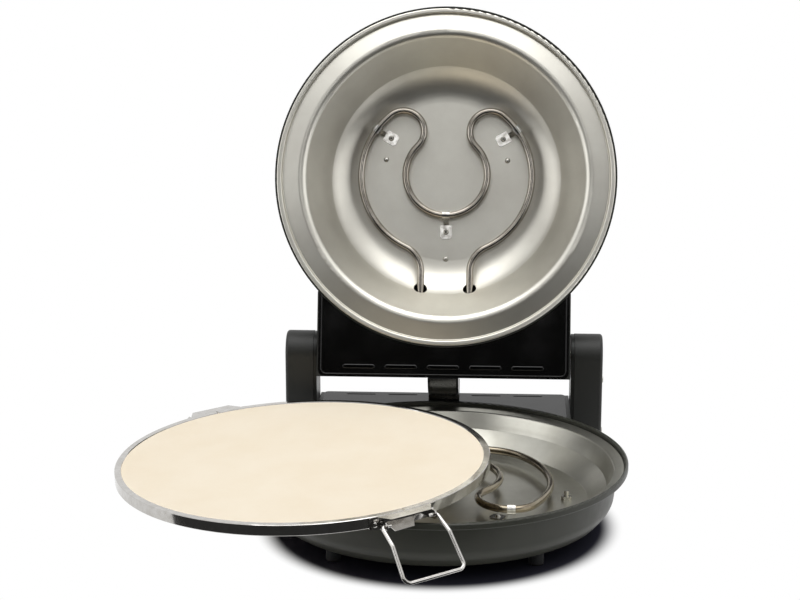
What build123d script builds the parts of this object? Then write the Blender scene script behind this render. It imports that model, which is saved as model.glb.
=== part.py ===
"""Electric pizza maker: a round base bowl with a heating element, a domed lid
with a second element, and a stone tray in a steel ring that lifts off by two
wire handles.  Millimetres, +Z up, origin on the table under the bowl's centre.
The lid is drawn closed and then turned open about its hinge."""
from build123d import *
import math
import os

# ---------------------------------------------------------------- driving sizes
RIM_TOP = 61.0            # height of the bowl's rim above the table
RIM_R = 165.0             # outside radius of the bowl's rim
BODY_BOTTOM = 15.7        # underside of the bowl, held up by the feet
SHELL_T = 1.2             # pressed and painted steel of bowl and dome
LINER_T = 0.8             # steel of liner and reflector

HINGE_Y = 164.3           # hinge axis, behind the bowl's centre
HINGE_Z = 108.1           # hinge axis, above the table
LID_GAP = 13.0            # rim to rim when the lid lies level
LID_R = 160.0             # outside radius of the lid's rim
LID_OPEN = 107.1          # degrees from level to the open stop

ARM_OUT = 149.0           # outside faces of the two hinge arms
ARM_IN = 119.5            # inside faces of the two hinge arms
ARM_R = 20.0              # round top of an arm, about the hinge axis
HOUSING_BACK = 192.0      # rear face of the base housing
BOX_HALF = 118.0          # half width of the lid's hinge box
BOX_BACK = 24.0           # rear face of the hinge box behind the axis
BOX_LEAN = 3.4            # how far that face leans forward over its height

STONE_R = 159.0           # baking stone
STONE_SHOWN_R = 154.2     # stone inside the ring's top flange
RING_R = 160.0            # outside of the tray's steel ring
RING_H = 9.3
TRAY_AT = (-114.4, -41.2, RIM_TOP + 2.3)   # ring's underside at its centre
TRAY_LEAN = 1.82          # degrees that the tray leans towards its low side
TRAY_LEAN_TO = 195.0      # bearing of that low side
HANDLE_AT = (-54.4, 125.6)  # bearings of the two handles round the ring
WIRE_D = 3.2              # handle wire
TUBE_D = 6.6              # heating tube

FRONT_FEET = (84.5, -93.0)
REAR_FEET = (96.0, 168.0)
FOOT_D = 13.0
SLOT_COUNT = 5            # louvres of both rear plates
BASE_SLOT_PITCH = 40.0
LID_SLOT_PITCH = 39.3
BASE_PLATE_HALF = 115.4   # half widths of the two plates
LID_PLATE_HALF = 116.6
PLATE_T = 1.0

# ---------------------------------------------------------------- derived sizes
LID_RIM = RIM_TOP + LID_GAP
ELEMENT_Z = RIM_TOP - 27.0        # lower heating tube
FLOOR_Z = RIM_TOP - 37.0          # liner floor
LID_ELEMENT_Z = LID_RIM + 35.0    # upper heating tube, lid level
LID_FLOOR_Z = LID_RIM + 46.0      # reflector's flat crown, lid level
LID_TOP = LID_FLOOR_Z + 12.0      # dome's flat crown, lid level
PLATE_Z = RIM_TOP - 0.8           # top of the base's louvred plate
LID_PLATE_Z = HINGE_Z - 33.0      # face of the lid's louvred plate, lid level
STONE_TOP = RING_H - 0.7
STONE_T = 6.0
HINGE_AXIS = Axis((0, HINGE_Y, HINGE_Z), (1, 0, 0))


# ------------------------------------------------------------------ small tools
def block(x0, x1, y0, y1, z0, z1):
    """A box between two corners."""
    size = (x1 - x0, y1 - y0, z1 - z0)
    centre = ((x0 + x1) / 2, (y0 + y1) / 2, (z0 + z1) / 2)
    return Pos(*centre) * Box(*size)


def disc(radius, z0, z1, x=0.0, y=0.0):
    """An upright cylinder between two heights."""
    return Pos(x, y, (z0 + z1) / 2) * Cylinder(radius, z1 - z0)


def rod(start, end, diameter):
    """A round bar between two points."""
    a = Vector(*start)
    b = Vector(*end)
    place = Plane(origin=a, z_dir=b - a)
    return extrude(place * Circle(diameter / 2), (b - a).length)


def turned(points):
    """A solid of revolution about Z from a closed outline of (radius, height)."""
    outline = Polyline(*points, close=True)
    return revolve(Plane.XZ * make_face(outline), Axis.Z)


def pressed(points, thickness, bends):
    """Sheet metal pressed round Z along a line of (radius, height) with round bends."""
    line = FilletPolyline(*points, radius=bends)
    section = trace(line, line_width=thickness)
    return revolve(Plane.XZ * section, Axis.Z)


def slot_plate(x_half, y0, y1, z0, z1, corner, inner_r):
    """A flat plate with two round rear corners, hollowed at the front by a circle."""
    plate = block(-x_half, x_half, y0, y1, z0, z1)
    rear = plate.edges().filter_by(Axis.Z).group_by(Axis.Y)[-1]
    plate = fillet(rear, corner)
    return plate - disc(inner_r, z0 - 1, z1 + 1)


def slot_centres(pitch):
    """Places of the louvres across a rear plate."""
    middle = (SLOT_COUNT - 1) / 2
    return [(i - middle) * pitch for i in range(SLOT_COUNT)]


def opened(shape):
    """Turn a lid piece from level to the open stop."""
    return shape.rotate(HINGE_AXIS, -LID_OPEN)


def in_tray(shape):
    """Put a piece drawn round the tray's own axis where the tray stands."""
    lean_dir = math.radians(TRAY_LEAN_TO)
    lean_axis = Axis((0, 0, 0), (-math.sin(lean_dir), math.cos(lean_dir), 0))
    return Pos(*TRAY_AT) * shape.rotate(lean_axis, TRAY_LEAN)


def round_tray(shape, bearing):
    """Turn a piece drawn at bearing 0 round the tray's axis."""
    return shape.rotate(Axis.Z, bearing)


# ------------------------------------------------------------------------- base
def base_shell():
    line = [(162.6, RIM_TOP - 4.6), (162.6, RIM_TOP - 0.6), (RIM_R - 0.6, RIM_TOP - 0.6),
            (RIM_R - 0.6, RIM_TOP - 5.4), (155.2, RIM_TOP - 7.9), (152.0, 27.0),
            (143.0, BODY_BOTTOM + 0.6), (0.6, BODY_BOTTOM + 0.6)]
    shell = pressed(line, SHELL_T, [0.9, 0.9, 0.9, 0.9, 16.0, 4.0])
    centre = disc(0.8, BODY_BOTTOM, BODY_BOTTOM + SHELL_T)
    for x in (-LOWER_LEG, LOWER_LEG):
        shell -= rod((x, 130, ELEMENT_Z), (x, 160, ELEMENT_Z), 12)
    return shell + centre


def base_liner():
    line = [(161.2, RIM_TOP - 4.6), (153.0, RIM_TOP - 6.9), (146.4, RIM_TOP - 21),
            (131.0, FLOOR_Z - 0.4), (0.4, FLOOR_Z - 0.4)]
    liner = pressed(line, LINER_T, 1.6)
    centre = disc(0.6, FLOOR_Z - LINER_T, FLOOR_Z)
    for x in (-LOWER_LEG, LOWER_LEG):
        liner -= rod((x, 130, ELEMENT_Z), (x, 160, ELEMENT_Z), 10.5)
    return liner + centre


def tube_line(circles, first_r, leg_x, leg_bend, leg_end, z):
    """Half of a heating tube's line, as arcs that run into each other.
    Each circle after the first is (x, y, how), where how says whether it lies outside,
    inside or around the one before it, and its radius follows from that."""
    x, y = circles[0]
    centre = Vector(x, y, z)
    radius = first_r
    angle = 90.0
    turn = -1
    arcs = []
    last = len(circles)
    for i in range(1, last + 1):
        if i < last:
            x, y, how = circles[i]
            following = Vector(x, y, z)
        else:
            how = "outside"
            x = leg_x + leg_bend
            rise = math.sqrt((radius + leg_bend) ** 2 - (x - centre.X) ** 2)
            following = Vector(x, centre.Y + rise, z)
        gap = following - centre
        towards = math.degrees(math.atan2(gap.Y, gap.X))
        meet = towards + 180 if how == "around" else towards
        sweep_by = turn * ((turn * (meet - angle)) % 360)
        arcs.append(CenterArc(centre, radius, angle, sweep_by))
        radius = {"outside": gap.length - radius, "inside": radius - gap.length,
                  "around": radius + gap.length}[how]
        angle = meet + 180 if how == "outside" else meet
        turn = -turn if how == "outside" else turn
        centre = following
    sweep_by = turn * ((turn * (180 - angle)) % 360)
    arcs.append(CenterArc(centre, radius, angle, sweep_by))
    arcs.append(Line((leg_x, centre.Y, z), (leg_x, leg_end, z)))
    return arcs


def heating_tube(half):
    """Sweep a round tube along one half line and add its mirror image."""
    wire = Wire(half)
    section = Plane(origin=wire @ 0, z_dir=wire % 0) * Circle(TUBE_D / 2)
    tube = sweep(section, path=wire)
    return tube + tube.mirror(Plane.YZ)


LOWER_LEG = 24.0          # the two legs' distance from the middle, bowl
LOWER_END = 158.0
LOWER_CIRCLES = [(0.0, 23.0), (63.0, -29.0, "outside"), (64.2, -35.6, "inside"),
                 (-14.0, 12.0, "around"), (35.3, 50.5, "inside")]
UPPER_LEG = 23.3          # the same in the lid
UPPER_END = 124.0
UPPER_CIRCLES = [(0.0, -5.2), (41.5, -46.5, "outside"), (6.0, -4.0, "around")]
UPPER_FIRST_R = 38.8
UPPER_SWEEP_R = 75.1      # the outermost arc, which follows from the circles above


def lower_element():
    return heating_tube(tube_line(LOWER_CIRCLES, 54.0, LOWER_LEG, 14.0, LOWER_END, ELEMENT_Z))


def upper_element():
    """The lid's tube, whose two legs run straight out through the reflector's shoulder."""
    return heating_tube(tube_line(UPPER_CIRCLES, UPPER_FIRST_R, UPPER_LEG, 25.0, UPPER_END, LID_ELEMENT_Z))


def tube_clip(at, along, way, rivet_at, tube_z, foot_z):
    """A steel band round the tube, a strap and a foot that is riveted to the metal behind.
    The band's axis points along, and the strap and foot lead the other way named."""
    sign = 1 if tube_z > foot_z else -1
    ring = Cylinder(TUBE_D / 2 + 1.3, 7) - Cylinder(TUBE_D / 2 + 0.45, 9)
    ring = Pos(at[0], at[1], tube_z) * Rot(0, 0, along) * Rot(0, 90, 0) * ring
    foot_start = rivet_at - 6.5
    foot_end = rivet_at + 6.5
    knee = tube_z - sign * 3.6
    side = Polyline((2.2, knee), (foot_start, foot_z + sign * 1.0), (foot_start + 2.5, foot_z + sign * 1.0),
                    (foot_start + 2.5, foot_z), (foot_start, foot_z), (2.2, knee - sign * 1.0), close=True)
    strap = extrude(Plane.YZ * make_face(side), 2.5, both=True)
    foot = block(-5.5, 5.5, foot_start, foot_end, min(foot_z, foot_z + sign), max(foot_z, foot_z + sign))
    outer = foot.edges().filter_by(Axis.Z).group_by(Axis.Y)[-1]
    leg = strap + chamfer(outer, 2.0)
    return ring + Pos(at[0], at[1], 0) * Rot(0, 0, way - 90) * leg


def polar(r, degrees, centre=(0.0, 0.0)):
    a = math.radians(degrees)
    return (centre[0] + r * math.cos(a), centre[1] + r * math.sin(a))


def mirrored(clips):
    """Add the other side's copy of each clip that isn't on the middle line."""
    out = []
    for at, along, way, rivet_at in clips:
        out.append((at, along, way, rivet_at))
        if at[0] > 1:
            out.append(((-at[0], at[1]), 180 - along, 180 - way, rivet_at))
    return out


# Each clip: place on the tube, the tube's direction there, the foot's direction, rivet's distance.
LOWER_CLIPS = mirrored([((63.7, -56.7), 0.0, 150.0, 13.0), ((0.0, 77.0), 0.0, 90.0, 15.2)])
UPPER_CLIPS = mirrored([(polar(UPPER_SWEEP_R, -36, (6.0, -4.0)), 54.0, 151.0, 15.2),
                        ((0.0, 33.6), 0.0, 90.0, 15.2)])


def lower_clips():
    return [tube_clip(*clip, ELEMENT_Z, FLOOR_Z) for clip in LOWER_CLIPS]


def upper_clips():
    return [tube_clip(*clip, LID_ELEMENT_Z, LID_FLOOR_Z) for clip in UPPER_CLIPS]


def rivet(at, z, sign, head_r=2.6, head_h=1.5):
    """A domed rivet head standing on a face."""
    ball_r = (head_r ** 2 + head_h ** 2) / (2 * head_h)
    head = Pos(0, 0, head_h - ball_r) * Sphere(ball_r)
    head = head & Pos(0, 0, head_h / 2) * Cylinder(head_r + 1, head_h)
    if sign < 0:
        head = head.rotate(Axis.X, 180)
    return Pos(at[0], at[1], z) * head


def clip_rivets(clips, z, sign):
    return [rivet(polar(rivet_at, way, at), z + sign, sign) for at, along, way, rivet_at in clips]


def liner_studs():
    """Threaded studs with nuts that hold the liner to the bowl."""
    out = []
    for bearing in (-1.0, 89.0, 179.0, 269.0):
        x, y = polar(112.0, bearing)
        nut = extrude(Pos(x, y, FLOOR_Z) * RegularPolygon(4.6, 6), 3.2)
        stud = disc(2.0, FLOOR_Z + 3.2, FLOOR_Z + 8.0, x, y)
        out.append(nut + stud)
    return out


def bowl_space(c):
    """The room that the bowl takes up, grown by a clearance, to cut neighbours with."""
    return turned([(0, BODY_BOTTOM - 9), (144.5 + c, BODY_BOTTOM - 9), (144.5 + c, BODY_BOTTOM),
                   (153.3 + c, 26.8), (156.2 + c, RIM_TOP - 8.6), (RIM_R + c, RIM_TOP - 6.2),
                   (RIM_R + c, RIM_TOP + 20), (0, RIM_TOP + 20)])


def rear_housing():
    outer = block(-ARM_IN + 0.2, ARM_IN - 0.2, 100, HOUSING_BACK, BODY_BOTTOM, PLATE_Z - PLATE_T)
    rear = outer.edges().filter_by(Axis.X).group_by(Axis.Y)[-1]
    outer = fillet(rear.sort_by(Axis.Z)[0], 5.0)
    inner = block(-ARM_IN + 5, ARM_IN - 5, 90, HOUSING_BACK - 2.8, BODY_BOTTOM + 2.8, PLATE_Z + 5)
    inlet = block(-66 - 14, -66 + 14, HOUSING_BACK - 5, HOUSING_BACK + 1, 30, 50)
    return outer - inner - bowl_space(0.6) - inlet


def base_plate():
    plate = slot_plate(BASE_PLATE_HALF, 100, HOUSING_BACK - 0.2, PLATE_Z - PLATE_T, PLATE_Z, 4.0,
                       RIM_R + 0.8)
    for x in slot_centres(BASE_SLOT_PITCH):
        plate -= Pos(x, HOUSING_BACK - 8, PLATE_Z) * extrude(SlotOverall(28, 2.4), 4, both=True)
    return plate


def cable_block():
    body = block(-14.6, 14.6, 167, 190, PLATE_Z, HINGE_Z)
    return body - Pos(0, HINGE_Y, HINGE_Z) * Rot(0, 90, 0) * Cylinder(41.8, 60)


def arm_profile(grow, z0):
    """Side view of an arm: straight up, with a round top about the hinge axis."""
    r = ARM_R - grow
    side = Plane.YZ * (Pos(HINGE_Y, (z0 + HINGE_Z) / 2) * Rectangle(2 * r, HINGE_Z - z0)
                       + Pos(HINGE_Y, HINGE_Z) * Circle(r))
    return side


def arm_cover(side):
    x0 = ARM_IN + 3.2
    outer = Pos(x0, 0, 0) * extrude(arm_profile(0, BODY_BOTTOM), ARM_OUT - x0)
    rim = outer.edges().group_by(Axis.X)[-1]
    outer = fillet(rim, 3.0)
    inner = Pos(x0 - 1, 0, 0) * extrude(arm_profile(2.4, BODY_BOTTOM + 2.4), ARM_OUT - x0 - 1.6)
    cover = outer - inner
    return cover if side > 0 else cover.mirror(Plane.YZ)


def hinge_bracket(side):
    plate = Pos(ARM_IN, 0, 0) * extrude(arm_profile(0.4, BODY_BOTTOM), 3.0)
    plate -= rod((ARM_IN - 1, HINGE_Y, HINGE_Z), (ARM_IN + 5, HINGE_Y, HINGE_Z), 10.0)
    return plate if side > 0 else plate.mirror(Plane.YZ)


def hinge_pins():
    pins = []
    for side in (1, -1):
        pin = rod((side * 104, HINGE_Y, HINGE_Z), (side * 122.6, HINGE_Y, HINGE_Z), 10.0)
        head = rod((side * 122.6, HINGE_Y, HINGE_Z), (side * 125.6, HINGE_Y, HINGE_Z), 15.0)
        pins.append(pin + head)
    return pins


def feet():
    out = []
    for side in (-1, 1):
        for x, y in (FRONT_FEET, REAR_FEET):
            pad = disc(FOOT_D / 2, 0, BODY_BOTTOM, side * x, y)
            low = pad.edges().group_by(Axis.Z)[0]
            out.append(fillet(low, 1.5))
    return out


def mains_inlet():
    """Appliance inlet for a plug-in lead, low at the back."""
    x, z = -66, 40
    body = block(x - 13.6, x + 13.6, HOUSING_BACK - 22, HOUSING_BACK, z - 9.6, z + 9.6)
    flange = block(x - 17, x + 17, HOUSING_BACK, HOUSING_BACK + 2.2, z - 13, z + 13)
    well = block(x - 11.6, x + 11.6, HOUSING_BACK - 16, HOUSING_BACK + 3, z - 7.8, z + 7.8)
    shell = body + flange - well
    for dx, dz in ((-7, -2), (0, 2.2), (7, -2)):
        shell += block(x + dx - 1.0, x + dx + 1.0, HOUSING_BACK - 17, HOUSING_BACK - 1, z + dz - 2, z + dz + 2)
    return shell


def terminal_block():
    base = block(38, 78, 172, 186, 18.5, 30)
    for i in range(4):
        base -= disc(2.0, 24, 31, 43 + 10 * i, 179)
    return base


def element_terminals():
    """Ceramic seals on the two cold ends of the lower tube."""
    return [rod((x, LOWER_END, ELEMENT_Z), (x, LOWER_END + 9, ELEMENT_Z), TUBE_D - 2)
            for x in (-LOWER_LEG, LOWER_LEG)]


# -------------------------------------------------------------------------- lid
def lid_shell():
    line = [(159.4, LID_RIM + 1.0), (159.4, LID_RIM + 6.0), (152.4, LID_RIM + 8.4),
            (147.0, LID_RIM + 34), (133.0, LID_TOP - 6.6), (112.0, LID_TOP - 0.6), (0.6, LID_TOP - 0.6)]
    shell = pressed(line, SHELL_T, 2.2)
    centre = disc(0.8, LID_TOP - SHELL_T, LID_TOP)
    knob_hole = disc(5.0, LID_TOP - 5, LID_TOP + 5, 0, KNOB_Y)
    return shell + centre - knob_hole


def lid_reflector():
    """Bright inner dish: a bead at the rim, a band with a round ridge, a sloping wall, a faint
    crease and a wide round shoulder that runs into the flat floor."""
    line = [(158.1, LID_RIM + 3.6), (158.1, LID_RIM + 0.5), (154.6, LID_RIM + 0.5), (153.0, LID_RIM + 3.6),
            (133.7, LID_RIM - 0.7), (109.0, LID_RIM + 32.4), (94.9, LID_FLOOR_Z + 0.4),
            (0.4, LID_FLOOR_Z + 0.4)]
    reflector = pressed(line, LINER_T, [1.0, 1.0, 0.9, 7.0, 2.0, 46.0])
    centre = disc(0.6, LID_FLOOR_Z, LID_FLOOR_Z + LINER_T)
    slope = math.radians(41.0)
    out = Vector(0, math.sin(slope), math.cos(slope))
    for x in (-UPPER_LEG, UPPER_LEG):
        hole = Vector(x, 103.5, LID_ELEMENT_Z)
        reflector -= rod(hole - out * 8, hole + out * 8, 12.6)
    return reflector + centre


def dome_space(c):
    """The room of the dome, grown by a clearance."""
    return turned([(0, LID_RIM - 20), (LID_R + c, LID_RIM - 20), (LID_R + c, LID_RIM + 7.0),
                   (153.2 + c, LID_RIM + 8.6), (147.9 + c, LID_RIM + 34), (134 + c, LID_TOP - 6),
                   (112.5 + c, LID_TOP + c), (0, LID_TOP + c)])


def box_profile(grow):
    """Side view of the lid's hinge box: its rear face leans forward towards the top."""
    low = LID_PLATE_Z + PLATE_T
    top = HINGE_Z + ARM_R - grow
    back = HINGE_Y + BOX_BACK - grow
    outline = Polyline((84 - grow, low), (back, low), (back - BOX_LEAN, top), (84 - grow, top), close=True)
    face = make_face(outline)
    round_corner = face.vertices().sort_by(Axis.X)[-2:].sort_by(Axis.Y)[-1]
    return Plane.YZ * fillet(round_corner, 17.0 - grow)


def hinge_box():
    wall = 2.6
    outer = extrude(box_profile(0), BOX_HALF, both=True)
    inner = extrude(box_profile(wall), BOX_HALF - wall, both=True)
    box = outer - inner - dome_space(0.5)
    for side in (1, -1):
        box -= rod((side * 110, HINGE_Y, HINGE_Z), (side * 120, HINGE_Y, HINGE_Z), 16.0)
    slot = block(-15.0, 15.0, HINGE_Y + 4, HINGE_Y + 40, LID_PLATE_Z + PLATE_T - 1, HINGE_Z + 30)
    return box - slot


def lid_plate():
    plate = slot_plate(LID_PLATE_HALF, 84, HINGE_Y + BOX_BACK - 0.2, LID_PLATE_Z,
                       LID_PLATE_Z + PLATE_T, 6.5, LID_R + 0.6)
    for x in slot_centres(LID_SLOT_PITCH):
        place = Pos(x, HINGE_Y + BOX_BACK - 9.8, LID_PLATE_Z)
        lip = place * extrude(SlotOverall(30, 4.0), -0.9)
        plate += fillet(lip.edges().group_by(Axis.Z)[0], 0.7)
        plate -= place * extrude(SlotOverall(26, 1.3), 3, both=True)
    return plate


def cable_drum():
    """Quarter drum about the hinge axis that covers the wires between base and lid."""
    drum = Pos(0, HINGE_Y, HINGE_Z) * Rot(0, 90, 0) * Cylinder(40.4, 28.6)
    drum = chamfer(drum.edges().filter_by(GeomType.CIRCLE), 2.0)
    bore = Pos(0, HINGE_Y, HINGE_Z) * Rot(0, 90, 0) * Cylinder(37.0, 24.0)
    bore = bore & block(-20, 20, HINGE_Y, HINGE_Y + 60, LID_PLATE_Z, HINGE_Z + 28.0)
    keep = block(-20, 20, HINGE_Y + 4.2, HINGE_Y + 60, LID_PLATE_Z + PLATE_T + 0.2, HINGE_Z + 29.5)
    return (drum - bore) & keep


def hinge_bushes():
    out = []
    for side in (1, -1):
        bush = rod((side * 106, HINGE_Y, HINGE_Z), (side * 118, HINGE_Y, HINGE_Z), 16.0)
        flange = rod((side * 104.5, HINGE_Y, HINGE_Z), (side * 106, HINGE_Y, HINGE_Z), 20.0)
        bore = rod((side * 100, HINGE_Y, HINGE_Z), (side * 119, HINGE_Y, HINGE_Z), 10.1)
        out.append(bush + flange - bore)
    return out


HANDLE_Y = -112.0
HANDLE_HALF = 52.0
HANDLE_Z = LID_TOP + 26.0


def lid_handle_posts():
    out = []
    for sx in (-1, 1):
        post = block(sx * HANDLE_HALF - 7, sx * HANDLE_HALF + 7, HANDLE_Y - 8, HANDLE_Y + 8,
                     LID_TOP - 10, HANDLE_Z + 2)
        out.append(post - dome_space(0.3))
    return out


def lid_handle_grip():
    bar = block(-HANDLE_HALF - 12, HANDLE_HALF + 12, HANDLE_Y - 11, HANDLE_Y + 11, HANDLE_Z + 2,
                HANDLE_Z + 18)
    return fillet(bar.edges(), 7.0)


KNOB_Y = -66.0
KNOB_Z = LID_TOP + 3.0


def dial_plate():
    plate = disc(27.0, LID_TOP + 0.3, KNOB_Z, 0, KNOB_Y)
    plate = chamfer(plate.edges().group_by(Axis.Z)[-1], 1.0)
    return plate - disc(4.2, LID_TOP - 5, KNOB_Z + 5, 0, KNOB_Y)


def thermostat_body():
    """Bulb thermostat under the dome's crown, its shaft hole upwards."""
    top = LID_TOP - SHELL_T - 0.2
    body = block(-13, 13, KNOB_Y - 12, KNOB_Y + 12, LID_FLOOR_Z + LINER_T + 0.6, top)
    return body - disc(3.1, LID_FLOOR_Z + 4.0, LID_TOP + 2, 0, KNOB_Y)


def thermostat_knob():
    skirt = disc(19.0, KNOB_Z + 0.4, KNOB_Z + 5.0, 0, KNOB_Y)
    skirt = fillet(skirt.edges().group_by(Axis.Z)[-1], 1.2)
    cap = disc(15.0, KNOB_Z + 5.0, KNOB_Z + 17.0, 0, KNOB_Y)
    cap = fillet(cap.edges().group_by(Axis.Z)[-1], 2.0)
    pointer = block(-1.2, 1.2, KNOB_Y - 14.0, KNOB_Y - 4.0, KNOB_Z + 17.0, KNOB_Z + 17.8)
    return skirt + cap + pointer


def thermostat_shaft():
    return disc(3.0, LID_FLOOR_Z + 4.4, KNOB_Z + 0.4, 0, KNOB_Y)


def pilot_lamp():
    body = disc(5.0, LID_TOP + 0.2, LID_TOP + 3.4, 44, KNOB_Y)
    return fillet(body.edges().group_by(Axis.Z)[-1], 1.6)


def reflector_rivets():
    spots = [(-58.0, -20.5), (58.0, -20.5), (0.0, 74.4)]
    return [rivet(at, LID_FLOOR_Z, -1) for at in spots]


# ------------------------------------------------------------------------- tray
def baking_stone():
    stone = disc(STONE_R, STONE_TOP - STONE_T, STONE_TOP)
    return chamfer(stone.edges(), 0.6)


def tray_ring():
    """Rolled steel ring: top flange over the stone, wall, ledge under the stone, bead."""
    wall_in = RING_R - 0.8
    ledge_top = STONE_TOP - STONE_T - 0.05
    ledge_low = ledge_top - 0.8
    ring = turned([(STONE_SHOWN_R, RING_H - 0.6), (STONE_SHOWN_R + 0.4, RING_H), (RING_R - 0.5, RING_H),
                   (RING_R, RING_H - 0.5), (RING_R, 0.5), (RING_R - 0.5, 0), (wall_in - 0.7, 0),
                   (wall_in - 1.1, 0.4), (wall_in - 1.1, 1.0), (wall_in - 0.7, 1.4), (wall_in, 1.4),
                   (wall_in, ledge_low), (151.0, ledge_low), (151.0, ledge_top), (wall_in, ledge_top),
                   (wall_in, RING_H - 0.6)])
    for bearing in HANDLE_AT:
        split = block(RING_R - 12, RING_R + 2, -0.45, 0.45, -1, RING_H + 1)
        ring -= round_tray(split, bearing)
    return ring


PIVOT_X = 166.9           # wire's pivot line, out from the tray's axis
PIVOT_Z = 2.7             # the same, above the ring's underside
LEG_HALF = 25.6           # half the distance between a handle's two legs
EAR_HALF = 23.0           # half the distance between the two ears they turn in
LUG_HALF = 32.0           # half the bracket's length along the ring
LUG_RIVET = 26.5          # rivets, from the bracket's middle


def across(points, y, thickness):
    """A flat plate across the Y direction, drawn in X and Z."""
    face = Plane.XZ * make_face(Polyline(*points, close=True))
    return Pos(0, y, 0) * extrude(face, thickness / 2, both=True)


def handle_bracket(bearing):
    """Strip riveted to the ring, with a lip, two ears that hold the wire and a bent-out tongue."""
    inner = RING_R + 0.05
    outer = inner + 1.0
    low = -1.6
    top = RING_H - 0.4
    lug = Pos(160, 0, (low + top) / 2) * Box(40, 2 * LUG_HALF, top - low)
    lug = fillet(lug.edges().filter_by(Axis.X), 2.5)
    strip = (disc(outer, low, top) - disc(inner, low - 1, top + 1)) & lug
    lip = Polyline((150, -25), (160, -25), (PIVOT_X + 3.3, -18.5), (PIVOT_X + 3.3, 18.5), (160, 25),
                   (150, 25), close=True)
    strip += Pos(0, 0, top - 0.9) * extrude(make_face(lip), 0.9) - disc(inner, -5, 15)
    for y in (-EAR_HALF, EAR_HALF):
        ear = across([(157, -1.0), (PIVOT_X + 1.6, -1.0), (PIVOT_X + 3.6, 1.0), (PIVOT_X + 3.6, 4.4),
                      (PIVOT_X + 1.6, 6.4), (157, 6.4)], y, 1.2)
        ear -= rod((PIVOT_X, y - 2, PIVOT_Z), (PIVOT_X, y + 2, PIVOT_Z), WIRE_D + 0.5)
        strip += ear - disc(inner, -5, 15)
    middle = -5.0
    tongue = Polyline((0, middle - 13), (0, middle + 13), (9.5, middle + 9), (9.5, middle - 9), close=True)
    tongue = extrude(make_face(tongue), 0.9).rotate(Axis.Y, 39)
    strip += Pos(outer - 1.2, 0, 3.0) * tongue - disc(inner, -5, 15)
    return in_tray(round_tray(strip, bearing))


def bracket_rivets():
    out = []
    spread = math.degrees(math.asin(LUG_RIVET / RING_R))
    for bearing in HANDLE_AT:
        for side in (-1, 1):
            head = Pos(RING_R + 1.06, 0, PIVOT_Z) * Rot(0, 90, 0) * rivet((0, 0), 0, 1, 2.4, 1.1)
            out.append(in_tray(round_tray(head, bearing + side * spread)))
    return out


def handle_wire(bearing):
    """Bent wire loop: two hooks, two cranked legs and a bar, hanging outwards."""
    x, y, z = PIVOT_X, LEG_HALF, PIVOT_Z
    knee = (x + 16.4, y + 1.0, z - 9.7)
    foot = (x + 35.7, y + 2.6, z - 35.0)
    hook = y - 8.0
    points = [(x, -hook, z), (x, -y, z), (knee[0], -knee[1], knee[2]), (foot[0], -foot[1], foot[2]),
              foot, knee, (x, y, z), (x, hook, z)]
    line = FilletPolyline(*points, radius=[2.6, 8.0, 5.5, 5.5, 8.0, 2.6])
    start = Plane(origin=line @ 0, z_dir=line % 0)
    wire = sweep(start * Circle(WIRE_D / 2), path=line)
    return in_tray(round_tray(wire, bearing))


# ----------------------------------------------------------------------- output
def lid_group(shapes):
    return Compound(children=[opened(s) for s in shapes])


def plain_group(shapes):
    return Compound(children=list(shapes))


def build():
    front, rear = HANDLE_AT
    lid = {
        "lid_shell": lid_shell(),
        "lid_reflector": lid_reflector(),
        "upper_element": upper_element(),
        "lid_hinge_box": hinge_box(),
        "lid_louvre_plate": lid_plate(),
        "cable_drum": cable_drum(),
        "lid_handle_grip": lid_handle_grip(),
        "dial_plate": dial_plate(),
        "thermostat_body": thermostat_body(),
        "thermostat_knob": thermostat_knob(),
        "thermostat_shaft": thermostat_shaft(),
        "pilot_lamp": pilot_lamp(),
    }
    nodes = {name: opened(shape) for name, shape in lid.items()}
    nodes["upper_element_clips"] = lid_group(upper_clips())
    nodes["upper_clip_rivets"] = lid_group(clip_rivets(UPPER_CLIPS, LID_FLOOR_Z, -1))
    nodes["reflector_rivets"] = lid_group(reflector_rivets())
    nodes["hinge_bushes"] = lid_group(hinge_bushes())
    nodes["lid_handle_posts"] = lid_group(lid_handle_posts())
    nodes.update({
        "base_shell": base_shell(),
        "base_liner": base_liner(),
        "lower_element": lower_element(),
        "lower_element_clips": plain_group(lower_clips()),
        "lower_clip_rivets": plain_group(clip_rivets(LOWER_CLIPS, FLOOR_Z, 1)),
        "liner_stud_nuts": plain_group(liner_studs()),
        "element_terminals": plain_group(element_terminals()),
        "rear_housing": rear_housing(),
        "base_louvre_plate": base_plate(),
        "cable_block": cable_block(),
        "arm_cover_left": arm_cover(-1),
        "arm_cover_right": arm_cover(1),
        "hinge_bracket_left": hinge_bracket(-1),
        "hinge_bracket_right": hinge_bracket(1),
        "hinge_pins": plain_group(hinge_pins()),
        "feet": plain_group(feet()),
        "mains_inlet": mains_inlet(),
        "terminal_block": terminal_block(),
        "baking_stone": in_tray(baking_stone()),
        "tray_ring": in_tray(tray_ring()),
        "handle_bracket_front": handle_bracket(front),
        "handle_bracket_rear": handle_bracket(rear),
        "bracket_rivets": plain_group(bracket_rivets()),
        "wire_handle_front": handle_wire(front),
        "wire_handle_rear": handle_wire(rear),
    })
    return nodes


os.makedirs("parts", exist_ok=True)
for name, shape in build().items():
    export_step(shape, f"parts/{name}.step")
    print(name, round(shape.volume), "mm3")
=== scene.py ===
"""Looks of the electric pizza maker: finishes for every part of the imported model,
small pressed, turned and moulded details, a plain studio and the photograph's camera.
Metres, +Z up, origin on the table under the bowl's centre. Details are drawn in millimetres,
those of the lid with the lid level, and set in place last."""
import bpy
import math
from mathutils import Matrix, Vector


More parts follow.
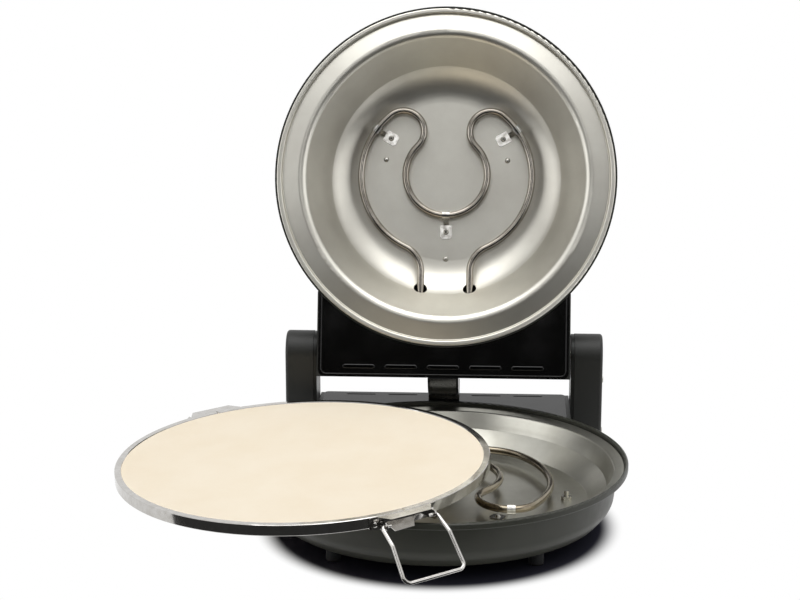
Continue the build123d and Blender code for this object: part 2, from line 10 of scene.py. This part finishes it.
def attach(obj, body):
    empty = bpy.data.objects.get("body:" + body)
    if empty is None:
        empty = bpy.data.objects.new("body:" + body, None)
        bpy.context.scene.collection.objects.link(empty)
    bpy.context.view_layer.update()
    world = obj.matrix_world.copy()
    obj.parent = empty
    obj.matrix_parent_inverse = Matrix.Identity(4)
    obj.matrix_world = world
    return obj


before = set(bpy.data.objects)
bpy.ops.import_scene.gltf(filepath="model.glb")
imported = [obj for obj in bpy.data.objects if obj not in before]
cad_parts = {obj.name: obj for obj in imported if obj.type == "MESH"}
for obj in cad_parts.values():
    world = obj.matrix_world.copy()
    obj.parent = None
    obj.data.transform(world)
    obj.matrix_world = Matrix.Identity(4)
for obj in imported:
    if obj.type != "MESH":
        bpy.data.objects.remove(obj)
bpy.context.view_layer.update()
bpy.ops.object.select_all(action="DESELECT")

MM = 0.001
HINGE = Vector((0, 164.3, 108.1)) * MM
LID_OPEN = math.radians(107.1)
TRAY = Vector((-114.4, -41.2, 63.3)) * MM
TRAY_LEAN = math.radians(1.82)
TRAY_LEAN_TO = math.radians(195.0)    # bearing of the tray's low side

lid_turn = Matrix.Translation(HINGE) @ Matrix.Rotation(-LID_OPEN, 4, "X") @ Matrix.Translation(-HINGE)
lean_axis = Vector((-math.sin(TRAY_LEAN_TO), math.cos(TRAY_LEAN_TO), 0))
tray_turn = Matrix.Translation(TRAY) @ Matrix.Rotation(TRAY_LEAN, 4, lean_axis)


# ------------------------------------------------------------------- materials
def rgb(code, alpha=1.0):
    """An sRGB hex colour as the linear values that shaders use."""
    out = []
    for i in (1, 3, 5):
        v = int(code[i:i + 2], 16) / 255
        out.append(v / 12.92 if v <= 0.04045 else ((v + 0.055) / 1.055) ** 2.4)
    return (*out, alpha)


def add(mat, kind, inputs=None, **fields):
    """Add a node, set its fields, and set or link its inputs."""
    made = mat.node_tree.nodes.new(kind)
    for name, value in fields.items():
        setattr(made, name, value)
    for name, value in (inputs or {}).items():
        if isinstance(value, bpy.types.NodeSocket):
            mat.node_tree.links.new(value, made.inputs[name])
        else:
            made.inputs[name].default_value = value
    return made


def material(name, **shader):
    """A material with one Principled shader, whose own sockets hold what is the same all over."""
    mat = bpy.data.materials.new(name)
    mat.use_nodes = True
    for socket, value in shader.items():
        mat.node_tree.nodes["Principled BSDF"].inputs[socket.replace("_", " ")].default_value = value
    return mat


def shader_input(mat, socket, source):
    """Link a node's output to a socket of the material's shader."""
    mat.node_tree.links.new(source, mat.node_tree.nodes["Principled BSDF"].inputs[socket])


def placed(mat, turn=None):
    """Object coordinates in millimetres, laid straight along a turned piece if asked."""
    where = add(mat, "ShaderNodeTexCoord").outputs["Object"]
    if turn is not None:
        back = turn.inverted()
        where = add(mat, "ShaderNodeMapping", {"Vector": where, "Location": back.to_translation(),
                                               "Rotation": back.to_euler()}).outputs["Vector"]
    scaled = add(mat, "ShaderNodeVectorMath", {0: where, "Scale": 1 / MM}, operation="SCALE")
    return scaled.outputs["Vector"]


def noise(mat, where, size_mm, detail=2.0, rough=0.5):
    """Noise whose spots are about so many millimetres across."""
    made = add(mat, "ShaderNodeTexNoise", {"Vector": where, "Scale": 1 / size_mm, "Detail": detail,
                                           "Roughness": rough})
    return made.outputs["Fac"]


def spread(mat, value, low, high, start=0.3, end=0.7):
    """Stretch a value from start..end to low..high."""
    return add(mat, "ShaderNodeMapRange", {"Value": value, "From Min": start, "From Max": end,
                                           "To Min": low, "To Max": high}).outputs["Result"]


def blend(mat, factor, first, second):
    """Blend two colours."""
    made = add(mat, "ShaderNodeMix", {"Factor": factor}, data_type="RGBA")
    for i, colour in ((6, first), (7, second)):
        if isinstance(colour, bpy.types.NodeSocket):
            mat.node_tree.links.new(colour, made.inputs[i])
        else:
            made.inputs[i].default_value = colour
    return made.outputs[2]


def bump(mat, height, depth_mm):
    """Raise and sink the surface by a height from 0 to 1."""
    made = add(mat, "ShaderNodeBump", {"Height": height, "Distance": depth_mm * MM, "Strength": 1.0})
    shader_input(mat, "Normal", made.outputs["Normal"])


def from_axis(mat, where):
    """Distance in millimetres from the piece's upright axis."""
    flat = add(mat, "ShaderNodeVectorMath", {0: where, 1: (1, 1, 0)}, operation="MULTIPLY")
    return add(mat, "ShaderNodeVectorMath", {0: flat.outputs["Vector"]}, operation="LENGTH").outputs["Value"]


def spin_lines(mat, where, width_mm):
    """Noise that only changes with the distance from the axis, as a spinning tool leaves it."""
    made = add(mat, "ShaderNodeTexNoise",
               {"W": from_axis(mat, where), "Scale": 1 / width_mm, "Detail": 3.0}, noise_dimensions="1D")
    return made.outputs["Fac"]


def satin_paint(name, pale, deep, turn=None):
    """Heat-proof silicone paint on pressed steel: satin, with a fine orange peel."""
    mat = material(name, IOR=1.5, Specular_IOR_Level=0.32)
    where = placed(mat, turn)
    patches = noise(mat, where, 70, 3.0)
    shader_input(mat, "Base Color", blend(mat, spread(mat, patches, 0, 1), rgb(pale), rgb(deep)))
    shader_input(mat, "Roughness", spread(mat, noise(mat, where, 12, 3.0), 0.34, 0.42))
    bump(mat, noise(mat, where, 1.6, 2.0), 0.02)
    return mat


def gloss_enamel(name, rough, level, turn=None):
    """Black vitreous enamel on the louvred plates: glossy, faintly wavy."""
    mat = material(name, Base_Color=rgb("#0a0a0a"), IOR=1.52, Specular_IOR_Level=level)
    where = placed(mat, turn)
    shader_input(mat, "Roughness", spread(mat, noise(mat, where, 25, 3.0), rough - 0.03, rough + 0.04))
    bump(mat, noise(mat, where, 9, 1.0), 0.01)
    return mat


def spun_steel(name, pale, deep, rough, turn=None):
    """Aluminised steel that was spun to a dish: soft satin metal with rings from the tool
    and cloudy patches where it was wiped."""
    mat = material(name, Metallic=1.0)
    where = placed(mat, turn)
    clouds = noise(mat, where, 45, 4.0, 0.6)
    shader_input(mat, "Base Color", blend(mat, spread(mat, clouds, 0, 1), rgb(pale), rgb(deep)))
    rings = spin_lines(mat, where, 1.3)
    shader_input(mat, "Roughness", spread(mat, rings, rough - 0.02, rough + 0.03))
    bump(mat, rings, 0.003)
    return mat


def tube_steel(name, pale, deep, turn=None):
    """Heating tube of nickel steel: satin, with the brown tint of heat in long patches."""
    mat = material(name, Metallic=1.0)
    where = placed(mat, turn)
    tint = noise(mat, where, 26, 4.0, 0.6)
    shader_input(mat, "Base Color", blend(mat, spread(mat, tint, 0, 1), rgb(pale), rgb(deep)))
    shader_input(mat, "Roughness", spread(mat, noise(mat, where, 1.2, 2.0), 0.15, 0.24))
    bump(mat, noise(mat, where, 0.9, 2.0), 0.006)
    return mat


def plated_steel(name):
    """Bright nickel plate on the ring and handles: a clear mirror with faint rubbing marks."""
    mat = material(name, Metallic=1.0)
    where = placed(mat)
    rub = noise(mat, where, 7, 4.0, 0.7)
    shader_input(mat, "Base Color", blend(mat, spread(mat, rub, 0, 1), rgb("#c9c7c4"), rgb("#b5b2ad")))
    shader_input(mat, "Roughness", spread(mat, rub, 0.07, 0.15))
    return mat


def clip_steel(name, turn=None):
    """Bare spring steel of the clips: shiny, with small dull spots."""
    mat = material(name, Metallic=1.0)
    where = placed(mat, turn)
    spots = noise(mat, where, 4, 3.0)
    shader_input(mat, "Base Color", blend(mat, spread(mat, spots, 0, 1), rgb("#c9c8c4"), rgb("#9d9a94")))
    shader_input(mat, "Roughness", spread(mat, spots, 0.12, 0.2))
    return mat


def zinc_steel(name, turn=None):
    """Zinc-plated steel for hinge parts, nuts and rivets: pale, slightly mottled."""
    mat = material(name, Metallic=1.0)
    where = placed(mat, turn)
    spots = add(mat, "ShaderNodeTexVoronoi", {"Vector": where, "Scale": 1 / 2.5}).outputs["Distance"]
    shader_input(mat, "Base Color", blend(mat, spots, rgb("#c6c4bd"), rgb("#a5a39c")))
    shader_input(mat, "Roughness", spread(mat, noise(mat, where, 3, 3.0), 0.22, 0.34))
    return mat


def moulded_plastic(name, colour, rough, grain_mm=0.5, turn=None):
    """Moulded plastic with a spark-eroded grain, drawn a little coarser than real to show."""
    mat = material(name, IOR=1.49)
    where = placed(mat, turn)
    grain = noise(mat, where, grain_mm, 2.0, 0.6)
    shade = noise(mat, where, 55, 2.0)
    dark = tuple(v * 0.86 for v in rgb(colour)[:3]) + (1.0,)
    shader_input(mat, "Base Color", blend(mat, spread(mat, shade, 0, 1), rgb(colour), dark))
    shader_input(mat, "Roughness", spread(mat, grain, rough - 0.05, rough + 0.05))
    bump(mat, grain, 0.02)
    return mat


def cordierite(name):
    """Pressed and fired cordierite: cream, dry, with sand-sized specks and fine pores."""
    mat = material(name, IOR=1.5)
    where = placed(mat, tray_turn)
    clouds = noise(mat, where, 60, 4.0, 0.6)
    specks = noise(mat, where, 0.9, 2.0, 0.7)
    base = blend(mat, spread(mat, clouds, 0, 1), rgb("#fcf0db"), rgb("#f8ead2"))
    fine = blend(mat, spread(mat, specks, 0, 0.35, 0.62, 0.8), base, rgb("#d8c39d"))
    shader_input(mat, "Base Color", fine)
    shader_input(mat, "Roughness", spread(mat, specks, 0.78, 0.9))
    bump(mat, noise(mat, where, 0.7, 3.0, 0.6), 0.03)
    return mat


# Most of the lid's pieces have a finish of their own, laid straight along the lid.
finish = {
    "satin_paint_base": satin_paint("satin_paint_base", "#34352e", "#3b3c34"),
    "satin_paint_lid": satin_paint("satin_paint_lid", "#262721", "#2d2e28", lid_turn),
    "bracket_paint": satin_paint("bracket_paint", "#141513", "#1b1c19"),
    "gloss_enamel_base": gloss_enamel("gloss_enamel_base", 0.2, 0.1),
    "gloss_enamel_lid": gloss_enamel("gloss_enamel_lid", 0.08, 0.5, lid_turn),
    "gloss_nylon_base": moulded_plastic("gloss_nylon_base", "#0b0b0b", 0.24, 2.0),
    "gloss_nylon_lid": moulded_plastic("gloss_nylon_lid", "#0b0b0b", 0.24, 2.0, lid_turn),
    "print_white": moulded_plastic("print_white", "#d9d9d4", 0.5, turn=lid_turn),
    # Painted shade: a near-black finish for the discs that fill the rivet bores.
    "painted_shade_hollow": moulded_plastic("painted_shade_hollow", "#0a0a09", 0.7),
    "spun_dish_lid": spun_steel("spun_dish_lid", "#d9d7ce", "#cfccc3", 0.37, lid_turn),
    "spun_dish_base": spun_steel("spun_dish_base", "#cbcac1", "#b4b2a8", 0.31),
    "tube_lid": tube_steel("tube_lid", "#a9a49c", "#8c857b", lid_turn),
    "tube_base": tube_steel("tube_base", "#97907f", "#75695a"),
    "plated_steel": plated_steel("plated_steel"),
    "clip_steel_lid": clip_steel("clip_steel_lid", lid_turn),
    "clip_steel_base": clip_steel("clip_steel_base"),
    "zinc_base": zinc_steel("zinc_base"),
    "zinc_lid": zinc_steel("zinc_lid", lid_turn),
    "black_nylon_base": moulded_plastic("black_nylon_base", "#1b1c18", 0.5),
    "black_nylon_lid": moulded_plastic("black_nylon_lid", "#1d1e1a", 0.46, turn=lid_turn),
    "foot_rubber": moulded_plastic("foot_rubber", "#1c1d1f", 0.75, 0.8),
    "bush_acetal": moulded_plastic("bush_acetal", "#d6d4c9", 0.4),
    "dial_abs": moulded_plastic("dial_abs", "#9a9b9c", 0.3, turn=lid_turn),
    "seal_steatite": moulded_plastic("seal_steatite", "#ddd8ca", 0.6),
    "lamp_red": moulded_plastic("lamp_red", "#a8130d", 0.12, 4.0, lid_turn),
    "cordierite": cordierite("cordierite"),
}

# Which finish each node of the model takes.
DRESS = {
    "satin_paint_base": ["base_shell"],
    "satin_paint_lid": ["lid_shell"],
    "gloss_enamel_base": ["base_louvre_plate"],
    "gloss_enamel_lid": ["lid_louvre_plate"],
    "spun_dish_lid": ["lid_reflector"],
    "spun_dish_base": ["base_liner"],
    "clip_steel_lid": ["upper_element_clips"],
    "clip_steel_base": ["lower_element_clips"],
    "tube_lid": ["upper_element"],
    "tube_base": ["lower_element"],
    "plated_steel": ["tray_ring", "handle_bracket_front", "handle_bracket_rear", "bracket_rivets",
                     "wire_handle_front", "wire_handle_rear"],
    "zinc_base": ["lower_clip_rivets", "liner_stud_nuts", "hinge_pins"],
    "bracket_paint": ["hinge_bracket_left", "hinge_bracket_right"],
    "zinc_lid": ["upper_clip_rivets", "reflector_rivets", "thermostat_shaft"],
    "gloss_nylon_base": ["cable_block"],
    "gloss_nylon_lid": ["cable_drum"],
    "black_nylon_base": ["rear_housing", "arm_cover_left", "arm_cover_right", "mains_inlet"],
    "black_nylon_lid": ["lid_hinge_box", "lid_handle_posts", "lid_handle_grip", "thermostat_knob"],
    "foot_rubber": ["feet"],
    "bush_acetal": ["hinge_bushes", "terminal_block", "thermostat_body"],
    "dial_abs": ["dial_plate"],
    "seal_steatite": ["element_terminals"],
    "lamp_red": ["pilot_lamp"],
    "cordierite": ["baking_stone"],
}
for finish_name, nodes in DRESS.items():
    for node_name in nodes:
        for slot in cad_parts[node_name].material_slots:
            slot.material = finish[finish_name]


# --------------------------------------------------------------- added details
def made_active(piece):
    """Leave one piece selected and active, for the operators that follow."""
    bpy.ops.object.select_all(action="DESELECT")
    piece.select_set(True)
    bpy.context.view_layer.objects.active = piece


def started(kind, **fields):
    """Start a piece from a primitive, with its size and place in its mesh."""
    bpy.ops.object.select_all(action="DESELECT")
    getattr(bpy.ops.mesh, "primitive_" + kind + "_add")(**fields)
    piece = bpy.context.object
    piece.data.transform(piece.matrix_world)
    piece.matrix_world = Matrix.Identity(4)
    return piece


def with_applied(piece, modifier):
    """Apply one of a piece's modifiers."""
    made_active(piece)
    bpy.ops.object.modifier_apply(modifier=modifier.name)
    return piece


def softened(piece, width, segments=2):
    """Round a piece's sharp edges."""
    edge = piece.modifiers.new("edge", "BEVEL")
    edge.width = width
    edge.segments = segments
    return with_applied(piece, edge)


def cut_by_plane(piece, point, normal, **fields):
    """Cut all of a piece by a plane."""
    made_active(piece)
    bpy.ops.object.mode_set(mode="EDIT")
    bpy.ops.mesh.select_all(action="SELECT")
    bpy.ops.mesh.bisect(plane_co=point, plane_no=normal, **fields)
    bpy.ops.object.mode_set(mode="OBJECT")
    return piece


def moved(piece, place, turn=0.0, axis="Z"):
    """Turn a piece about the origin, then shift it, in its mesh."""
    piece.data.transform(Matrix.Translation(place) @ Matrix.Rotation(turn, 4, axis))
    return piece


def joined(pieces):
    """Join a list of pieces into its first one."""
    made_active(pieces[0])
    for piece in pieces:
        piece.select_set(True)
    bpy.ops.object.join()
    return bpy.context.object


def dressed(piece, name, body, finish_name, turn=None):
    """Scale a piece from millimetres, set it in place, name it, finish it and let it ride."""
    place = Matrix.Scale(MM, 4) if turn is None else turn @ Matrix.Scale(MM, 4)
    piece.data.transform(place)
    piece.name = name
    piece.data.name = name
    piece.data.materials.clear()
    piece.data.materials.append(finish[finish_name])
    made_active(piece)
    bpy.ops.object.shade_smooth_by_angle(angle=math.radians(40))
    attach(piece, body)


def bead_along(points, radius):
    """A round bead along a line of points."""
    curve = bpy.data.curves.new("bead", "CURVE")
    curve.dimensions = "3D"
    curve.bevel_depth = radius
    curve.bevel_resolution = 3
    spline = curve.splines.new("POLY")
    spline.points.add(len(points) - 1)
    for knot, point in zip(spline.points, points):
        knot.co = (*point, 1.0)
    piece = bpy.data.objects.new("bead", curve)
    bpy.context.collection.objects.link(piece)
    made_active(piece)
    bpy.ops.object.convert(target="MESH")
    return bpy.context.object


def plate_outline(half, front, back, corner, z, steps=8):
    """The side and rear edges of a plate with two round rear corners."""
    right = [(half, front, z)]
    for step in range(steps + 1):
        a = math.radians(90 * step / steps)
        right.append((half - corner + corner * math.cos(a), back - corner + corner * math.sin(a), z))
    left = [(-x, y, height) for x, y, height in reversed(right)]
    return right + left


# The thin raised line just inside the edges of the lid's louvred plate.
PLATE_HALF = 116.6        # half the plate's width
PLATE_BACK = 188.1        # its rear edge
PLATE_FACE = 75.1         # its face
BEAD_INSET = 2.6          # from the plate's edges to the bead
BEAD_FRONT = 112.0        # where the bead's two ends lie
plate_bead = bead_along(plate_outline(PLATE_HALF - BEAD_INSET, BEAD_FRONT, PLATE_BACK - BEAD_INSET,
                                      5.0, PLATE_FACE), 0.45)
dressed(plate_bead, "lid_plate_bead", "lid", "gloss_enamel_lid", lid_turn)

# Printed marks round the thermostat's knob, and the ribs of its grip.
LID_TOP = 132.0           # the dome's crown
KNOB_AT = Vector((0, -66, LID_TOP + 3.0))
DIAL_SWEEP = 270.0        # degrees from the first mark to the last
TICK_COUNT = 11
TICK_R = 21.4
NUMBER_COUNT = 6
NUMBER_R = 24.2
NUMBER_RISE = 0.12
RIB_COUNT = 30
RIB_R = 15.0
RIB_Z = 10.5              # middle of a rib, above the dial


def tick_mark(share):
    """A line on the dial, at a share of its sweep."""
    mark = softened(started("cube", size=1, scale=(0.6, 2.4, 0.3)), 0.08)
    moved(mark, (0, TICK_R, 0.1))
    return moved(mark, KNOB_AT, math.radians(DIAL_SWEEP * (share - 0.5)))


def dial_number(text, share):
    """A raised number on the dial, at a share of its sweep."""
    bpy.ops.object.select_all(action="DESELECT")
    bpy.ops.object.text_add()
    letters = bpy.context.object.data
    letters.body = text
    letters.size = 3.4
    letters.extrude = NUMBER_RISE
    letters.align_x = "CENTER"
    letters.align_y = "CENTER"
    bpy.ops.object.convert(target="MESH")
    number = moved(bpy.context.object, (0, NUMBER_R, NUMBER_RISE))
    return moved(number, KNOB_AT, math.radians(DIAL_SWEEP * (0.5 - share)))


def knob_rib(share):
    """A round rib on the knob's side, at a share of a full turn."""
    rib = started("cylinder", vertices=10, radius=0.8, depth=9.0, location=(RIB_R, 0, RIB_Z))
    return moved(softened(rib, 0.3), KNOB_AT, math.radians(360 * share))


ticks = joined([tick_mark(i / (TICK_COUNT - 1)) for i in range(TICK_COUNT)])
dressed(ticks, "dial_ticks", "lid", "print_white", lid_turn)
numbers = joined([dial_number(str(i), i / (NUMBER_COUNT - 1)) for i in range(NUMBER_COUNT)])
dressed(numbers, "dial_numbers", "lid", "print_white", lid_turn)
ribs = joined([knob_rib(i / RIB_COUNT) for i in range(RIB_COUNT)])
dressed(ribs, "knob_ribs", "knob", "black_nylon_lid", lid_turn)


def screw_head(radius):
    """A pan-head screw with a cross recess, its face towards +Z, standing on the origin."""
    head = started("cylinder", vertices=40, radius=radius, depth=radius * 0.7, location=(0, 0, radius * 0.2))
    softened(head, radius * 0.28, 4)
    for turn in (0, math.pi / 2):
        cutter = started("cube", size=1, scale=(radius * 1.1, radius * 0.24, radius * 0.5),
                         location=(0, 0, radius * 0.55))
        moved(cutter, (0, 0, 0), turn)
        recess = head.modifiers.new("recess", "BOOLEAN")
        recess.object = cutter
        with_applied(head, recess)
        bpy.data.objects.remove(cutter)
    return head


def screws(name, radius, spots):
    """Screw heads on the base. Each spot is a place, and the turn that faces a head out of its panel."""
    heads = []
    for place, degrees, axis in spots:
        head = moved(screw_head(radius), (0, 0, 0), math.radians(degrees), axis)
        heads.append(moved(head, place))
    dressed(joined(heads), name, "base", "zinc_base")


HOUSING_BACK = 192.0      # rear face of the base's housing
ARM_OUT = 149.0           # outside faces of the two hinge arms
screws("housing_screws", 3.2,
       [((x, HOUSING_BACK, z), -90, "X") for x in (-109, 109) for z in (27, 52)])
screws("arm_screws", 3.0,
       [((side * ARM_OUT, HINGE.y / MM, z), 90 * side, "Y") for side in (-1, 1) for z in (34, 84)])

VENT_COUNT = 6
VENT_X = 26.0
VENT_LOW = 25.0           # height of the lowest hood
VENT_PITCH = 5.0


def vent_hood(z):
    """A hood over a vent: an oval bulge, cut flat below."""
    hood = started("uv_sphere", segments=32, ring_count=16, radius=1, scale=(11.0, 1.6, 2.1))
    cut_by_plane(hood, (0, 0, -0.4), (0, 0, 1), clear_inner=True, use_fill=True)
    return moved(hood, (VENT_X, HOUSING_BACK, z))


vents = joined([vent_hood(VENT_LOW + VENT_PITCH * i) for i in range(VENT_COUNT)])
dressed(vents, "housing_vent_hoods", "base", "black_nylon_base")


def polar(centre, distance, degrees):
    """A place at a distance and a bearing from another."""
    a = math.radians(degrees)
    return (centre[0] + distance * math.cos(a), centre[1] + distance * math.sin(a))


def rivet_spots(clip, reach, way, middle_y):
    """The rivets of the right clip, of its mirror image and of the clip on the middle line."""
    x, y = polar(clip, reach, way)
    return [(x, y), (-x, y), (0, middle_y)]


def eyelets(spots, z, sign):
    """The rolled rims of hollow rivets, with near-black discs in their bores as painted shade, on a sheet
    that faces up or down.
    """
    rims = []
    bores = []
    for x, y in spots:
        rims.append(started("torus", major_radius=1.25, minor_radius=0.5, major_segments=28,
                            minor_segments=10, location=(x, y, z + sign * 1.15)))
        # A dark disc in each bore is painted shade where the hollow would be.
        bore = started("cylinder", vertices=20, radius=0.85, depth=0.4, location=(x, y, z + sign * 1.38))
        bores.append(softened(bore, 0.1))
    return joined(rims), joined(bores)


BASE_FLOOR = 24.0         # the bowl's inner floor
LID_FLOOR = 120.0         # the dish's floor
CLIP_T = 1.0              # sheet of a clip's foot
LOWER_CLIP = (63.7, -56.7)    # right clip of the lower heating tube
UPPER_CLIP = polar((6.0, -4.0), 75.1, -36)    # right clip of the upper one
# The rivet bores are near-black discs of painted shade.
rims, bores = eyelets(rivet_spots(LOWER_CLIP, 13.0, 150, 92.2), BASE_FLOOR + CLIP_T, 1)
dressed(rims, "lower_rivet_rims", "base", "zinc_base")
dressed(bores, "lower_rivet_bore_painted_shade", "base", "painted_shade_hollow")
rims, bores = eyelets(rivet_spots(UPPER_CLIP, 15.2, 151, 48.8), LID_FLOOR - CLIP_T, -1)
dressed(rims, "upper_rivet_rims", "lid", "zinc_lid", lid_turn)
dressed(bores, "upper_rivet_bore_painted_shade", "lid", "painted_shade_hollow", lid_turn)

# ----------------------------------------------------------------------- camera
CAMERA_AT = Vector((48.3, -1657.3, 627.2)) * MM
CAMERA_DOWN = 14.39       # degrees that it looks down
CAMERA_LEFT = 2.83        # degrees that it looks to the left
camera = bpy.data.objects.new("camera", bpy.data.cameras.new("camera"))
bpy.context.collection.objects.link(camera)
camera.location = CAMERA_AT
camera.rotation_euler = (math.radians(90 - CAMERA_DOWN), 0, math.radians(CAMERA_LEFT))
camera.data.lens = 90
camera.data.sensor_width = 36
camera.data.clip_end = 60
bpy.context.scene.camera = camera
bpy.context.scene.view_settings.view_transform = "Standard"


# ------------------------------------------------------------------------ light
def looked_at(mat):
    """One for camera, glossy and transmission rays, which see the studio, and zero for others."""
    rays = add(mat, "ShaderNodeLightPath").outputs
    seen = add(mat, "ShaderNodeMath", {0: rays["Is Camera Ray"], 1: rays["Is Glossy Ray"]},
               operation="MAXIMUM")
    seen = add(mat, "ShaderNodeMath", {0: seen.outputs[0], 1: rays["Is Transmission Ray"]},
               operation="MAXIMUM")
    return seen.outputs[0]


# The world looks white. Matt surfaces get a soft light from it that comes from above only.
world = bpy.data.worlds.new("studio")
bpy.context.scene.world = world
world.use_nodes = True
seen = looked_at(world)
toward = add(world, "ShaderNodeTexCoord").outputs["Generated"]
height = add(world, "ShaderNodeSeparateXYZ", {"Vector": toward}).outputs["Z"]
level = add(world, "ShaderNodeMapRange", {"Value": height, "From Min": 0.1, "From Max": 0.9,
                                          "To Min": 0.0, "To Max": 0.7}).outputs["Result"]
room = add(world, "ShaderNodeBackground", {"Color": rgb("#ffffff"), "Strength": level})
white = add(world, "ShaderNodeBackground", {"Color": rgb("#ffffff"), "Strength": 1.0})
both = add(world, "ShaderNodeMixShader", {0: seen, 1: room.outputs[0], 2: white.outputs[0]})
world.node_tree.links.new(both.outputs[0], world.node_tree.nodes["World Output"].inputs["Surface"])


def softbox(name, place, aim, size, brightness, shiny_only=False):
    """A rectangular studio lamp whose face has the given brightness."""
    width, height = size
    data = bpy.data.lights.new(name, "AREA")
    data.shape = "RECTANGLE"
    data.size = width
    data.size_y = height
    data.energy = brightness * math.pi * width * height
    lamp = bpy.data.objects.new(name, data)
    bpy.context.collection.objects.link(lamp)
    lamp.location = place
    lamp.rotation_euler = (Vector(aim) - Vector(place)).to_track_quat("-Z", "Y").to_euler()
    lamp.visible_diffuse = not shiny_only


softbox("overhead_box", place=(0.0, -0.1, 1.75), aim=(0, 0, 0), size=(1.6, 1.5), brightness=2.3)
softbox("left_box", place=(-1.95, -0.95, 0.8), aim=(0, 0.2, 0.3), size=(1.7, 1.5), brightness=1.8,
        shiny_only=True)
softbox("right_box", place=(1.95, -0.95, 0.8), aim=(0, 0.2, 0.3), size=(1.7, 1.5), brightness=1.6,
        shiny_only=True)
softbox("camera_fill", place=(0.0, -2.6, 1.52), aim=(0, 0.2, 0.35), size=(1.1, 0.55), brightness=1.7,
        shiny_only=True)


# ----------------------------------------------------------------------- studio
black_cloth = material("black_cloth", Base_Color=rgb("#181818"), Roughness=1.0)


def only_reflected(piece, name):
    """Name a piece of the studio and make it black cloth that only reflections see."""
    piece.name = name
    piece.data.materials.append(black_cloth)
    piece.visible_camera = False
    piece.visible_diffuse = False
    piece.visible_shadow = False


# The dark end of the studio, round the camera.
dark_wall = started("cylinder", vertices=48, radius=3.2, depth=2.6, end_fill_type="NOTHING",
                    location=(0, 0, 1.28))
cut_by_plane(dark_wall, (0, -0.4, 0), (0, 1, 0), clear_outer=True)
only_reflected(dark_wall, "studio_dark_end")

# A card on the table before the object, which gives the plated rim its dark band. Its corners
# are moved one by one, because the plane primitive takes no scale.
CARD_CORNERS = ((-3.2, -3.2), (3.2, -3.2), (-3.2, -0.2), (3.2, -0.2))
card = started("plane", size=1)
for corner, (x, y) in zip(card.data.vertices, CARD_CORNERS):
    corner.co = (x, y, 0.0004)
only_reflected(card, "studio_black_card")

# White paper with a painted shadow: its colour is darker under the bowl, where its shadow lies, and fades to
# plain white.
SHADOW_R = 141            # millimetres from the bowl's axis to where the painted shadow starts to fade
WHITE_R = 163             # from there on the paper looks plain white
paper_mat = bpy.data.materials.new("paper_painted_shadow")
paper_mat.use_nodes = True
tree = paper_mat.node_tree
tree.nodes.remove(tree.nodes["Principled BSDF"])
fade = add(paper_mat, "ShaderNodeMapRange",
           {"Value": from_axis(paper_mat, placed(paper_mat)), "From Min": SHADOW_R, "From Max": WHITE_R,
            "To Min": 0.0, "To Max": 1.0}, interpolation_type="SMOOTHSTEP").outputs["Result"]
share = add(paper_mat, "ShaderNodeMath", {0: looked_at(paper_mat), 1: fade}, operation="MULTIPLY")
# The paper's colour holds the painted shadow: dark grey-blue inside SHADOW_R, white past WHITE_R.
paper = add(paper_mat, "ShaderNodeBsdfDiffuse",
            {"Color": blend(paper_mat, fade, rgb("#4a4a58"), rgb("#fbfbfb"))})
glow = add(paper_mat, "ShaderNodeEmission", {"Color": rgb("#ffffff"), "Strength": 1.0})
mixed = add(paper_mat, "ShaderNodeMixShader",
            {0: share.outputs[0], 1: paper.outputs[0], 2: glow.outputs[0]})
tree.links.new(mixed.outputs[0], tree.nodes["Material Output"].inputs["Surface"])
studio_floor = started("plane", size=12, location=(0, 0, -0.0003))
studio_floor.name = "studio_floor"
studio_floor.data.materials.append(paper_mat)
